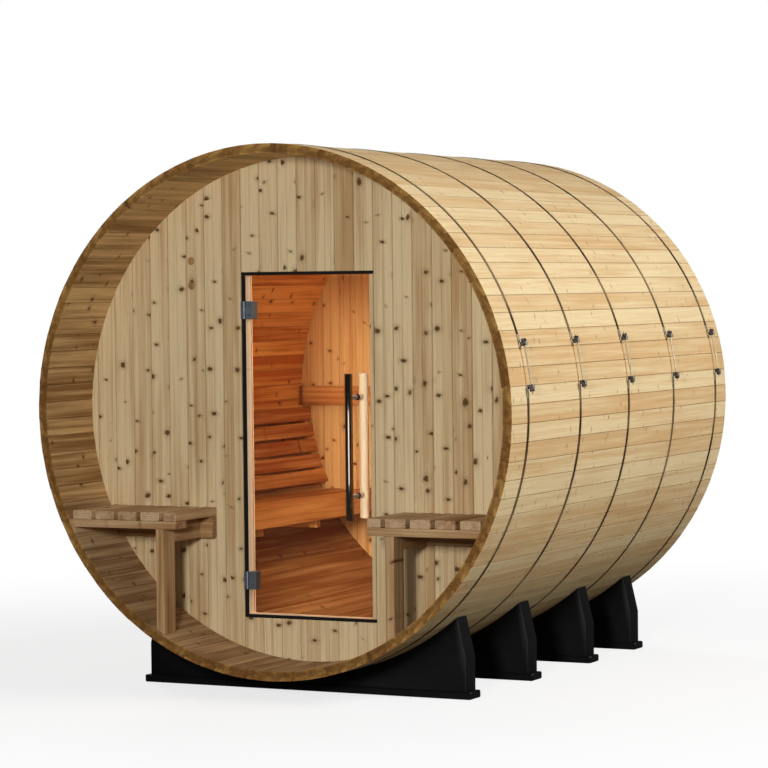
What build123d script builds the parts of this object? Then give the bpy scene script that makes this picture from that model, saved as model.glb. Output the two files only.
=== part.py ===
from build123d import *
import os
from math import asin, ceil, cos, degrees, radians, sin, sqrt, tan

# A barrel sauna: staves laid side by side on a circle, an open porch at the front, a front wall
# with a glass door, a rear wall, steel straps round the barrel and four cradles under it.
# Millimetres. +Z is up and the ground is at z = 0. The origin is on the ground under the middle
# of the barrel, whose axis runs along Y. The porch is at -Y, so +X is on the right seen from it.
# Heights in the barrel are above its underside, so that they go with it.

# Clearance between pieces that sit on or beside each other
fit_gap = 0.3

# Barrel
shell_radius = 1067
shell_length = 2360
stave_thickness = 38
stave_count = 92
underside_height = 74
run_names = ("right", "upper_right", "top", "upper_left", "left", "lower_left", "bottom", "lower_right")

# End walls, held in grooves across the staves
porch_depth = 354
rear_overhang = 92
wall_thickness = 38
groove_depth = 9

# Doorway and its frame
opening_width = 608
opening_bottom = 207
opening_height = 1421
frame_depth = 64
jamb_thickness = 18
head_thickness = 14
seal_thickness = 8

# Door leaf, with its glass set back from the face of the wall
leaf_clearance = 8
glass_thickness = 8
glass_setback = 34
handle_from_edge = 72
handle_from_top = 393
handle_length = 592
bolt_spacing = 400
bolt_radius = 9
bolt_hole_clearance = 0.5
outside_pull_standoff = 54
outside_pull_radius = 16
outside_pull_wall = 1.5
pull_plug_length = 12
inside_pull_standoff = 40
inside_pull_radius = 19

# Hinges, two clamps on the glass that turn on pins
hinge_height = 72
hinge_from_top = 156
hinge_from_bottom = 153
hinge_axis_ahead = 8
pin_radius = 3.5
knuckle_radius = 7
knuckle_length = 34
knuckle_clearance = 1
clamp_reach = 32
clamp_back_thickness = 10
clamp_back_reach = 20
hinge_plate_thickness = 6

# Porch benches, alike but for the place of the post
porch_bench_setback = 20
porch_seat_height = 658
porch_slat_thickness = 36
porch_slat_width = 88
porch_slat_gap = 19.5
porch_inner_slat_width = 59
porch_bench_inner = 433
rail_height = 32
post_width = 38
post_depth = 89
left_post_inset = 57
right_post_inset = 79
ledger_height = 89
ledger_thickness = 38

# Bench, backrest and rail inside
bench_seat_height = 604
bench_front = 555
board_thickness = 38
board_width = 89
bench_slat_gap = 12
bearer_count = 4
bearer_front_margin = 88
bearer_rear_margin = 122
rib_depth = 38
rib_width = 38
rib_count = 4
rib_front_margin = 22
rib_rear_margin = 26
backrest_slat_thickness = 18
backrest_slat_width = 64
backrest_slat_count = 5
backrest_slat_gap = 13.25
backrest_clearance = 30.7
rail_clearance = 8.3

# Straps round the barrel, each with a threaded rod that draws it tight
strap_width = 16
strap_thickness = 2
strap_count = 5
strap_front_margin = 155
strap_rear_margin = 139
tensioner_angle = 10
tensioner_half_angle = 4.5
bracket_height = 28
bracket_width = 22
bracket_thickness = 16
rod_radius = 4
rod_height = 17
rod_overhang = 20
nut_radius = 10
nut_thickness = 11

# Cradles, hollow mouldings with a plate at the front and a flange all round
cradle_after_first_strap = 142
cradle_after_second_strap = 234.5
cradle_before_fourth_strap = 180.5
cradle_before_last_strap = 179
cradle_depth = 90
cradle_wall = 8
cradle_half_width = 725
cradle_shoulder_height = 165
cradle_top_half_width = 688
cradle_lip = 22
cradle_front_lip = 10
cradle_lip_height = 30
cradle_rib_spacing = 240

# Worked out from the sizes above
front_y = -shell_length / 2
axis_height = underside_height + shell_radius
ground = -underside_height
inner_radius = shell_radius - stave_thickness
stave_step = 360 / stave_count
corner_radius = shell_radius / cos(radians(stave_step / 2))
groove_radius = inner_radius + groove_depth
wall_radius = groove_radius - fit_gap
seat_radius = inner_radius - fit_gap
cabin_front = porch_depth + wall_thickness
cabin_back = shell_length - rear_overhang - wall_thickness
opening_side = opening_width / 2
opening_top = opening_bottom + opening_height
frame_back = porch_depth + frame_depth
frame_front = porch_depth + seal_thickness + fit_gap
leaf_side = opening_side - jamb_thickness - leaf_clearance
leaf_bottom = opening_bottom + head_thickness + leaf_clearance
leaf_top = opening_top - head_thickness - leaf_clearance
glass_front = porch_depth + glass_setback
glass_back = glass_front + glass_thickness

os.makedirs("parts", exist_ok=True)


def across(distance):
    """Plane across the barrel this far behind the front rim, its origin on the barrel's axis."""
    return Plane(origin=(0, front_y + distance, axis_height), x_dir=(1, 0, 0), z_dir=(0, -1, 0))


def back_to(depth):
    """Extrusion amount that carries a sketch made on an across plane this far towards the rear."""
    return -depth


def board(low_x, high_x, low_z, high_z, mode=Mode.ADD):
    """Rectangle between two sides and two heights above the underside, in the sketch being drawn."""
    with Locations(((low_x + high_x) / 2, (low_z + high_z) / 2 - shell_radius)):
        Rectangle(high_x - low_x, high_z - low_z, mode=mode)


def save(piece, name):
    """Label a finished piece and write its STEP file."""
    piece.part.label = name
    export_step(piece.part, f"parts/{name}.step")


# Staves: flat inside and out, in eight runs, each grooved across the inside for both end walls
half_outer = shell_radius * tan(radians(stave_step / 2)) - fit_gap / 2
half_inner = inner_radius * tan(radians(stave_step / 2)) - fit_gap / 2
run_angle = 360 / len(run_names)
for run, run_name in enumerate(run_names):
    first_stave = ceil((run - 0.5) * run_angle / stave_step)
    run_count = ceil((run + 0.5) * run_angle / stave_step) - first_stave
    with BuildPart() as staves:
        with BuildSketch(across(0)):
            with PolarLocations(0, run_count, first_stave * stave_step, run_count * stave_step):
                Polygon(
                    (inner_radius, -half_inner),
                    (shell_radius, -half_outer),
                    (shell_radius, half_outer),
                    (inner_radius, half_inner),
                    align=None,
                )
        extrude(amount=back_to(shell_length))
        for wall_front in (porch_depth, cabin_back):
            with BuildSketch(across(wall_front - fit_gap)):
                Circle(groove_radius)
            extrude(amount=back_to(wall_thickness + 2 * fit_gap), mode=Mode.SUBTRACT)
    save(staves, f"staves_{run_name}")


def end_wall(name, distance, low_x, high_x, low_z, high_z):
    """Piece of an end wall: the round wall between two sides and two heights."""
    with BuildPart() as wall:
        with BuildSketch(across(distance)):
            Circle(wall_radius)
            board(low_x, high_x, low_z, high_z, mode=Mode.INTERSECT)
        extrude(amount=back_to(wall_thickness))
    save(wall, name)


# End walls: the front one is split beside, over and under the doorway, the rear one in three
over_all = shell_radius + wall_radius
beside = opening_side + fit_gap
end_wall("front_wall_left", porch_depth, -wall_radius, -beside, ground, over_all)
end_wall("front_wall_right", porch_depth, beside, wall_radius, ground, over_all)
end_wall("front_wall_over_door", porch_depth, -opening_side, opening_side, opening_top, over_all)
end_wall("front_wall_under_door", porch_depth, -opening_side, opening_side, ground, opening_bottom)
end_wall("rear_wall_left", cabin_back, -wall_radius, -beside, ground, over_all)
end_wall("rear_wall_right", cabin_back, beside, wall_radius, ground, over_all)
end_wall("rear_wall_middle", cabin_back, -opening_side, opening_side, ground, over_all)


def frame_piece(name, distance, depth, low_x, high_x, low_z, high_z):
    """Straight board or strip with its end grain up, down or to the sides."""
    with BuildPart() as piece:
        with BuildSketch(across(distance)):
            board(low_x, high_x, low_z, high_z)
        extrude(amount=back_to(depth))
    save(piece, name)


# Door frame: head and sill run the full width, the jambs stand between them
frame_side = opening_side - fit_gap
frame_bottom = opening_bottom + fit_gap
frame_top = opening_top - fit_gap
jamb_bottom = opening_bottom + head_thickness
jamb_top = opening_top - head_thickness
jamb_inside = opening_side - jamb_thickness
behind_seal = frame_back - frame_front
whole_frame = frame_back - porch_depth
frame_piece("door_head", frame_front, behind_seal, -frame_side, frame_side, jamb_top + fit_gap, frame_top)
frame_piece("door_sill", frame_front, behind_seal, -frame_side, frame_side, frame_bottom, jamb_bottom - fit_gap)
frame_piece("door_jamb_left", frame_front, behind_seal, -frame_side, -jamb_inside, jamb_bottom, jamb_top)
frame_piece("door_jamb_right", porch_depth, whole_frame, jamb_inside, frame_side, jamb_bottom, jamb_top)

# Door seal: black strips on the head, the sill and the hinge side, flush with the wall's face
with BuildPart() as door_seal:
    with BuildSketch(across(porch_depth)):
        board(-frame_side, frame_side, jamb_top + fit_gap, frame_top)
        board(-frame_side, frame_side, frame_bottom, jamb_bottom - fit_gap)
        board(-frame_side, -jamb_inside, jamb_bottom, jamb_top)
    extrude(amount=back_to(seal_thickness))
save(door_seal, "door_seal")

# Hinges: the axis stands ahead of the wall's face, in line with the inside of the left jamb
hinge_x = -jamb_inside
hinge_y = porch_depth - hinge_axis_ahead
hinge_heights = (opening_bottom + hinge_from_bottom, opening_top - hinge_from_top)
hinge_half = hinge_height / 2
knuckle_half = knuckle_length / 2


def level(height):
    """Horizontal plane at this height above the underside, with its origin on the hinge axis."""
    return Plane(origin=(hinge_x, front_y + hinge_y, underside_height + height))


# Hinge brackets: a plate on the jamb, a knuckle above and one below the clamp's, and the pin
plate_back = hinge_axis_ahead - fit_gap
plate_left = opening_side - jamb_inside
with BuildPart() as hinge_brackets:
    for middle in hinge_heights:
        with BuildSketch(level(middle - hinge_half)):
            Circle(knuckle_radius)
            with Locations((0, plate_back)):
                Rectangle(plate_left, hinge_plate_thickness, align=(Align.MAX, Align.MAX))
        extrude(amount=hinge_height)
        with BuildSketch(level(middle - knuckle_half - fit_gap)):
            Circle(knuckle_radius + knuckle_clearance)
        extrude(amount=knuckle_length + 2 * fit_gap, mode=Mode.SUBTRACT)
        with BuildSketch(level(middle - hinge_half)):
            Circle(pin_radius)
        extrude(amount=hinge_height)
save(hinge_brackets, "hinge_brackets")

# Hinge clamps: a knuckle and a block in front of the glass, and a plate behind it
clamp_left = knuckle_radius + knuckle_clearance
clamp_right = clamp_left + clamp_reach
block_back = glass_front - fit_gap - hinge_y
web_thickness = knuckle_radius - knuckle_clearance
with BuildPart() as hinge_clamps:
    for middle in hinge_heights:
        with BuildSketch(level(middle - hinge_half)):
            with Locations((clamp_left, 0)):
                Rectangle(clamp_reach, block_back, align=(Align.MIN, Align.MIN))
        extrude(amount=hinge_height)
        with BuildSketch(level(middle - knuckle_half)):
            Circle(knuckle_radius)
            with Locations((0, 0)):
                Rectangle(clamp_left, web_thickness, align=(Align.MIN, Align.MIN))
            Circle(pin_radius + fit_gap, mode=Mode.SUBTRACT)
        extrude(amount=knuckle_length)
        with BuildSketch(level(middle - hinge_half)):
            with Locations((clamp_left, glass_back + fit_gap - hinge_y)):
                Rectangle(clamp_back_reach, clamp_back_thickness, align=(Align.MIN, Align.MIN))
        extrude(amount=hinge_height)
save(hinge_clamps, "hinge_clamps")

# Glass leaf, bored for the two bolts that hold both pulls
handle_x = leaf_side - handle_from_edge
handle_top = leaf_top - handle_from_top
handle_middle = handle_top - handle_length / 2
bolt_heights = (handle_middle - bolt_spacing / 2, handle_middle + bolt_spacing / 2)
bolt_places = [(handle_x, height - shell_radius) for height in bolt_heights]
with BuildPart() as door_glass:
    with BuildSketch(across(glass_front)):
        board(-leaf_side, leaf_side, leaf_bottom, leaf_top)
        with Locations(*bolt_places):
            Circle(bolt_radius + bolt_hole_clearance, mode=Mode.SUBTRACT)
    extrude(amount=back_to(glass_thickness))
save(door_glass, "door_glass")

# Outside pull: a metal tube with a plug in each end
outside_pull_y = glass_front - outside_pull_standoff - outside_pull_radius
inside_pull_y = glass_back + inside_pull_standoff + inside_pull_radius


def pull_plane(distance, height):
    """Horizontal plane at this height above the underside, its origin on the axis of a pull."""
    return Plane(origin=(handle_x, front_y + distance, underside_height + height))


handle_bottom = handle_top - handle_length
tube_bore = outside_pull_radius - outside_pull_wall
with BuildPart() as outside_pull:
    with BuildSketch(pull_plane(outside_pull_y, handle_bottom)):
        Circle(outside_pull_radius)
        Circle(tube_bore, mode=Mode.SUBTRACT)
    extrude(amount=handle_length)
    for plug_bottom in (handle_bottom, handle_top - pull_plug_length):
        with BuildSketch(pull_plane(outside_pull_y, plug_bottom)):
            Circle(tube_bore - fit_gap)
        extrude(amount=pull_plug_length)
save(outside_pull, "outside_pull")

# Inside pull: a round wooden bar
with BuildPart() as inside_pull:
    with BuildSketch(pull_plane(inside_pull_y, handle_bottom)):
        Circle(inside_pull_radius)
    extrude(amount=handle_length)
save(inside_pull, "inside_pull")

# Pull bolts: two round standoffs that pass through the glass and carry both pulls
bolt_front = outside_pull_y + outside_pull_radius + fit_gap
bolt_length = inside_pull_y - inside_pull_radius - fit_gap - bolt_front
with BuildPart() as pull_bolts:
    with BuildSketch(across(bolt_front)):
        with Locations(*bolt_places):
            Circle(bolt_radius)
    extrude(amount=back_to(bolt_length))
save(pull_bolts, "pull_bolts")

# Porch benches: slats from front to back on a rail, a post, a wall ledger and a stringer
slat_bottom = porch_seat_height - porch_slat_thickness
rail_bottom = slat_bottom - fit_gap - rail_height
bench_depth = porch_depth - fit_gap - porch_bench_setback
wide_slat_pitch = porch_slat_width + porch_slat_gap
inner_slat_end = porch_bench_inner + porch_inner_slat_width
wide_slats_start = inner_slat_end + porch_slat_gap
porch_seat_edge = sqrt(seat_radius**2 - (shell_radius - porch_seat_height) ** 2)
porch_slat_count = round((porch_seat_edge - wide_slats_start) / wide_slat_pitch)
ledger_front = porch_depth - fit_gap - ledger_thickness
ledger_bottom = slat_bottom - fit_gap - ledger_height
stringer_front = porch_bench_setback + post_depth + fit_gap


def sided_board(side, near, far, low_z, high_z):
    """Rectangle between two distances from the middle, to the left (-1) or to the right (1)."""
    board(min(side * near, side * far), max(side * near, side * far), low_z, high_z)


for side_name, side, post_inset in (("left", -1, left_post_inset), ("right", 1, right_post_inset)):
    post_inner = porch_bench_inner + post_inset
    with BuildPart() as porch_seat:
        with BuildSketch(across(porch_bench_setback)):
            sided_board(side, porch_bench_inner, inner_slat_end, slat_bottom, porch_seat_height)
            for slat in range(porch_slat_count):
                slat_start = wide_slats_start + slat * wide_slat_pitch
                slat_end = slat_start + porch_slat_width
                sided_board(side, slat_start, slat_end, slat_bottom, porch_seat_height)
            Circle(seat_radius, mode=Mode.INTERSECT)
        extrude(amount=back_to(bench_depth))
    save(porch_seat, f"porch_seat_{side_name}")

    with BuildPart() as porch_frame:
        with BuildSketch(across(porch_bench_setback)):
            sided_board(side, porch_bench_inner, inner_radius, rail_bottom, slat_bottom - fit_gap)
            sided_board(side, post_inner, post_inner + post_width, ground, rail_bottom - fit_gap)
            Circle(seat_radius, mode=Mode.INTERSECT)
        extrude(amount=back_to(post_depth))
        with BuildSketch(across(ledger_front)):
            sided_board(side, porch_bench_inner, inner_radius, ledger_bottom, slat_bottom - fit_gap)
            Circle(seat_radius, mode=Mode.INTERSECT)
        extrude(amount=back_to(ledger_thickness))
        with BuildSketch(across(stringer_front)):
            sided_board(side, post_inner, post_inner + post_width, ledger_bottom, slat_bottom - fit_gap)
        extrude(amount=back_to(ledger_front - fit_gap - stringer_front))
    save(porch_frame, f"porch_bench_frame_{side_name}")

# Bench inside, along the left staves: slats behind a fascia, on bearers
inside_length = cabin_back - cabin_front - 2 * fit_gap
slat_start_x = -bench_front - board_thickness - fit_gap
bench_slat_bottom = bench_seat_height - board_thickness
bench_slat_pitch = board_width + bench_slat_gap
bench_seat_edge = sqrt(seat_radius**2 - (shell_radius - bench_seat_height) ** 2)
bench_slat_count = round((bench_seat_edge + slat_start_x - bench_slat_gap) / bench_slat_pitch)
with BuildPart() as sauna_bench_seat:
    with BuildSketch(across(cabin_front + fit_gap)):
        for slat in range(bench_slat_count):
            slat_right = slat_start_x - bench_slat_gap - slat * bench_slat_pitch
            board(slat_right - board_width, slat_right, bench_slat_bottom, bench_seat_height)
        Circle(seat_radius, mode=Mode.INTERSECT)
    extrude(amount=back_to(inside_length))
save(sauna_bench_seat, "sauna_bench_seat")

fascia_bottom = bench_seat_height - board_width
with BuildPart() as sauna_bench_fascia:
    with BuildSketch(across(cabin_front + fit_gap)):
        board(slat_start_x + fit_gap, -bench_front, fascia_bottom, bench_seat_height)
    extrude(amount=back_to(inside_length))
save(sauna_bench_fascia, "sauna_bench_fascia")

bearer_top = bench_slat_bottom - fit_gap
bearer_first = cabin_front + bearer_front_margin
bearer_last = cabin_back - bearer_rear_margin - board_thickness
bearer_spacing = (bearer_last - bearer_first) / (bearer_count - 1)
with BuildPart() as sauna_bench_bearers:
    for bearer in range(bearer_count):
        with BuildSketch(across(bearer_first + bearer * bearer_spacing)):
            board(-inner_radius, slat_start_x, bearer_top - board_width, bearer_top)
            Circle(seat_radius, mode=Mode.INTERSECT)
        extrude(amount=back_to(board_thickness))
save(sauna_bench_bearers, "sauna_bench_bearers")

# Backrest: slats across curved ribs that follow the left staves
rib_inner_radius = seat_radius - rib_depth
slat_outer_radius = rib_inner_radius - fit_gap
slat_half_angle = degrees(asin(backrest_slat_width / 2 / slat_outer_radius))
slat_pitch_angle = 2 * degrees(asin((backrest_slat_width + backrest_slat_gap) / 2 / slat_outer_radius))
backrest_drop = shell_radius - bench_seat_height - backrest_clearance
rib_bottom_angle = degrees(asin(backrest_drop / slat_outer_radius))
slat_lowest_angle = rib_bottom_angle - slat_half_angle
slat_highest_angle = slat_lowest_angle - (backrest_slat_count - 1) * slat_pitch_angle
rib_top_angle = slat_highest_angle - slat_half_angle
wedge_reach = 2 * inner_radius
rib_first = cabin_front + rib_front_margin
rib_last = cabin_back - rib_rear_margin - rib_width
rib_spacing = (rib_last - rib_first) / (rib_count - 1)
with BuildPart() as backrest_ribs:
    for rib in range(rib_count):
        with BuildSketch(across(rib_first + rib * rib_spacing)):
            Circle(seat_radius)
            Circle(rib_inner_radius, mode=Mode.SUBTRACT)
            Polygon(
                (0, 0),
                (-wedge_reach * cos(radians(rib_top_angle)), -wedge_reach * sin(radians(rib_top_angle))),
                (-wedge_reach * cos(radians(rib_bottom_angle)), -wedge_reach * sin(radians(rib_bottom_angle))),
                align=None,
                mode=Mode.INTERSECT,
            )
        extrude(amount=back_to(rib_width))
save(backrest_ribs, "backrest_ribs")

slat_corner = sqrt(slat_outer_radius**2 - (backrest_slat_width / 2) ** 2)
backrest_length = rib_last + rib_width - rib_first
with BuildPart() as backrest_slats:
    with BuildSketch(across(rib_first)):
        for slat in range(backrest_slat_count):
            slat_angle = 180 + slat_lowest_angle - slat * slat_pitch_angle
            with PolarLocations(slat_corner, 1, slat_angle):
                Rectangle(
                    backrest_slat_thickness, backrest_slat_width, align=(Align.MAX, Align.CENTER)
                )
    extrude(amount=back_to(backrest_length))
save(backrest_slats, "backrest_slats")

# Rail on the rear wall, from stave to stave, just over the backrest
highest_slat = radians(slat_highest_angle)
slat_face_radius = slat_corner - backrest_slat_thickness
slat_top_drop = slat_face_radius * sin(highest_slat) - backrest_slat_width / 2 * cos(highest_slat)
rail_bottom_height = shell_radius - slat_top_drop + rail_clearance
with BuildPart() as rear_wall_rail:
    with BuildSketch(across(cabin_back - fit_gap - board_thickness)):
        board(-inner_radius, inner_radius, rail_bottom_height, rail_bottom_height + board_width)
        Circle(seat_radius, mode=Mode.INTERSECT)
    extrude(amount=back_to(board_thickness))
save(rear_wall_rail, "rear_wall_rail")

# Straps: flat steel hoops that touch the corners of the staves
strap_inner = corner_radius + fit_gap
strap_outer = strap_inner + strap_thickness
strap_spacing = (shell_length - strap_front_margin - strap_rear_margin) / (strap_count - 1)
strap_places = [strap_front_margin + strap * strap_spacing for strap in range(strap_count)]
with BuildPart() as straps:
    for place in strap_places:
        with BuildSketch(across(place - strap_width / 2)):
            Circle(strap_outer)
            Circle(strap_inner, mode=Mode.SUBTRACT)
        extrude(amount=back_to(strap_width))
save(straps, "straps")

# Tensioners: two brackets on each strap, joined by a threaded rod with a nut at each end
tensioner_half = strap_outer * sin(radians(tensioner_half_angle))
bracket_start = tensioner_half - bracket_thickness / 2
bracket_foot = sqrt(strap_outer**2 - bracket_start**2) + fit_gap
rod_radial = bracket_foot + rod_height
rod_half = tensioner_half + bracket_thickness / 2 + rod_overhang
nut_start = tensioner_half + bracket_thickness / 2 + fit_gap
outward = Vector(cos(radians(tensioner_angle)), 0, sin(radians(tensioner_angle)))
upward = Vector(-sin(radians(tensioner_angle)), 0, cos(radians(tensioner_angle)))


def along_rod(place, height):
    """Plane square to a tensioner's rod, its origin on the rod, this far up from the middle."""
    middle = Vector(0, front_y + place, axis_height) + outward * rod_radial
    return Plane(origin=middle + upward * height, x_dir=outward, z_dir=upward)


with BuildPart() as tensioner_brackets:
    for place in strap_places:
        for bracket_bottom in (-bracket_start - bracket_thickness, bracket_start):
            with BuildSketch(along_rod(place, bracket_bottom)):
                with Locations((-rod_height, 0)):
                    Rectangle(bracket_height, bracket_width, align=(Align.MIN, Align.CENTER))
                Circle(rod_radius + fit_gap, mode=Mode.SUBTRACT)
            extrude(amount=bracket_thickness)
save(tensioner_brackets, "tensioner_brackets")

with BuildPart() as tensioner_rods:
    for place in strap_places:
        with BuildSketch(along_rod(place, -rod_half)):
            Circle(rod_radius)
        extrude(amount=2 * rod_half)
        for nut_bottom in (-nut_start - nut_thickness, nut_start):
            with BuildSketch(along_rod(place, nut_bottom)):
                RegularPolygon(nut_radius, 6)
            extrude(amount=nut_thickness)
save(tensioner_rods, "tensioner_rods")

# Cradles: a front plate with a curved top, a flange that runs round it, ribs and a foot lip
cradle_radius = corner_radius + fit_gap
saddle_drop = sqrt(cradle_radius**2 - cradle_top_half_width**2)
lip_half_width = cradle_half_width + cradle_lip
lip_top = ground + cradle_lip_height
cradle_places = (
    strap_places[0] + cradle_after_first_strap,
    strap_places[1] + cradle_after_second_strap,
    strap_places[-2] - cradle_before_fourth_strap,
    strap_places[-1] - cradle_before_last_strap,
)
rib_places = (-cradle_rib_spacing, 0, cradle_rib_spacing)


def cradle_outline(mode=Mode.ADD):
    """Front view of a cradle as a face: straight base and sides under the barrel's curve."""
    Polygon(
        (-cradle_half_width, -axis_height),
        (-cradle_half_width, cradle_shoulder_height - axis_height),
        (-cradle_top_half_width, -saddle_drop),
        (cradle_top_half_width, -saddle_drop),
        (cradle_half_width, cradle_shoulder_height - axis_height),
        (cradle_half_width, -axis_height),
        align=None,
        mode=mode,
    )
    Circle(cradle_radius, mode=Mode.SUBTRACT)


for number, place in enumerate(cradle_places, start=1):
    with BuildPart() as cradle:
        with BuildSketch(across(place)):
            cradle_outline()
        extrude(amount=back_to(cradle_depth))
        with BuildSketch(across(place + cradle_wall)):
            cradle_outline()
            offset(amount=-cradle_wall, mode=Mode.REPLACE)
        extrude(amount=back_to(cradle_depth - cradle_wall), mode=Mode.SUBTRACT)
        with BuildSketch(across(place + cradle_wall)):
            for rib_x in rib_places:
                board(rib_x - cradle_wall / 2, rib_x + cradle_wall / 2, ground, over_all)
            cradle_outline(mode=Mode.INTERSECT)
        extrude(amount=back_to(cradle_depth - cradle_wall))
        with BuildSketch(across(place)):
            board(-lip_half_width, -cradle_half_width, ground, lip_top)
            board(cradle_half_width, lip_half_width, ground, lip_top)
        extrude(amount=back_to(cradle_depth))
        with BuildSketch(across(place - cradle_front_lip)):
            board(-lip_half_width, lip_half_width, ground, lip_top)
        extrude(amount=back_to(cradle_front_lip))
    save(cradle, f"cradle_{number}")
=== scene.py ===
from math import cos, pi, radians, sin, sqrt

import bpy
import numpy as np
from mathutils import Matrix, Vector


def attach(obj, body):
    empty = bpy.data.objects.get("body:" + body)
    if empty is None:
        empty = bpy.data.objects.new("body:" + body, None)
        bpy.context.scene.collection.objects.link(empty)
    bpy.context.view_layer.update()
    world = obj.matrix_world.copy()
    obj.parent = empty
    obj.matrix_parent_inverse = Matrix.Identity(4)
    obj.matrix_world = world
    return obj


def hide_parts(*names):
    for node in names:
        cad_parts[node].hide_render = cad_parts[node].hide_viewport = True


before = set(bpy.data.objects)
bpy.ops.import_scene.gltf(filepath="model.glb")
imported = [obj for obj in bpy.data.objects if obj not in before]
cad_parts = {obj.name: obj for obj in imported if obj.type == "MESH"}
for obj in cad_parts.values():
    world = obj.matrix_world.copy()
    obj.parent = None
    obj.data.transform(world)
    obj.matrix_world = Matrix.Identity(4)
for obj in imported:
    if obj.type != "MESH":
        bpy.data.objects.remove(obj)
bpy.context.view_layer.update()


# Staves. Ninety-two softwood planks, 38 mm thick, are laid side by side on a circle. Each has a
# bead milled along one edge and a cove along the other, so that they nest as the straps draw
# them tight. Two grooves across the inside of each hold the end walls.
AXIS = 1.141
OUTER = 1.067
INNER = 1.029
LENGTH = 2.360
FRONT = -LENGTH / 2
JOINT = 0.0003
GAP = 0.0003
STAVES = 92
STEP = 2 * pi / STAVES
BEAD = 0.008
EASED = 0.0024
EASE_DEPTH = 0.0015
END_EDGE = 0.0006
GROOVE = 0.009
FRONT_WALL = FRONT + 0.354
REAR_WALL = FRONT + 2.230
WALL = 0.038
CABIN_FRONT = FRONT_WALL + WALL
RUNS = ("right", "upper_right", "top", "upper_left", "left", "lower_left", "bottom", "lower_right")
FLOOR_RUNS = (5, 6, 7)
SHADED_RUNS = (4, 5, 6, 7)
SHARP = radians(24)
chance = np.random.default_rng(12)


def shade(red, green, blue):
    """Scene-linear colour of a paint chip that is given as three numbers from 0 to 255."""
    chip = np.array((red, green, blue)) / 255
    linear = np.where(chip > 0.04045, ((chip + 0.055) / 1.055) ** 2.4, chip / 12.92)
    return (*linear.tolist(), 1.0)


class Wire:
    """What a node gives. Python's operators on it add Math nodes."""

    def __init__(self, finish, socket):
        self.finish = finish
        self.socket = socket

    def output(self, key):
        return Wire(self.finish, self.socket.node.outputs[key])

    def math(self, operation, first, second=0.0):
        return self.finish.node("Math", {"operation": operation}, {0: first, 1: second})

    def __add__(self, other):
        return self.math("ADD", self, other)

    def __sub__(self, other):
        return self.math("SUBTRACT", self, other)

    def __rsub__(self, other):
        return self.math("SUBTRACT", other, self)

    def __mul__(self, other):
        return self.math("MULTIPLY", self, other)

    def __truediv__(self, other):
        return self.math("DIVIDE", self, other)

    def __rtruediv__(self, other):
        return self.math("DIVIDE", other, self)

    def __pow__(self, other):
        return self.math("POWER", self, other)

    __radd__ = __add__
    __rmul__ = __mul__

    def fraction(self):
        return self.math("FRACT", self)

    def clamped(self):
        return self.finish.node("Clamp", {}, {"Value": self})


class Finish:
    """A material. node() adds one node from its type, its settings, which are set first, and the
    values or links of its sockets."""

    def __init__(self, name):
        self.material = bpy.data.materials.new(name)
        self.material.use_nodes = True
        self.tree = self.material.node_tree
        self.tree.nodes.clear()

    def node(self, kind, settings, sockets, out=0):
        made = self.tree.nodes.new("ShaderNode" + kind)
        for name, value in settings.items():
            setattr(made, name, value)
        for key, value in sockets.items():
            if isinstance(value, Wire):
                self.tree.links.new(value.socket, made.inputs[key])
            else:
                made.inputs[key].default_value = value
        return Wire(self, made.outputs[out])

    def mix(self, factor, first, second, blend="MIX"):
        """Colour between first and second, or second blended over first."""
        settings = {"data_type": "RGBA", "blend_type": blend}
        return self.node("Mix", settings, {0: factor, 6: first, 7: second}, out=2)

    def scaled(self, vector, factors):
        return self.node("VectorMath", {"operation": "MULTIPLY"}, {0: vector, 1: factors})

    def noise(self, vector, factors, detail=2.0, rough=0.5):
        place = self.scaled(vector, factors)
        sockets = {"Vector": place, "Scale": 1.0, "Detail": detail, "Roughness": rough}
        return self.node("TexNoise", {}, sockets)

    def spot(self):
        """Where each point lies on its object, in metres."""
        return self.node("TexCoord", {}, {}, out="Object")

    def wired(self, shader, kind="OutputMaterial"):
        """Ends the nodes with the shader as what shows."""
        output = self.tree.nodes.new("ShaderNode" + kind)
        self.tree.links.new(shader.socket, output.inputs["Surface"])

    def surface(self, sockets, height=None, strength=0.3, distance=0.001):
        """Principled surface, with a bump where a height is given, wired to the output."""
        if height is not None:
            bump = {"Height": height, "Strength": strength, "Distance": distance}
            sockets = {**sockets, "Normal": self.node("Bump", {}, bump)}
        self.wired(self.node("BsdfPrincipled", {}, sockets))
        return self.material


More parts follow.
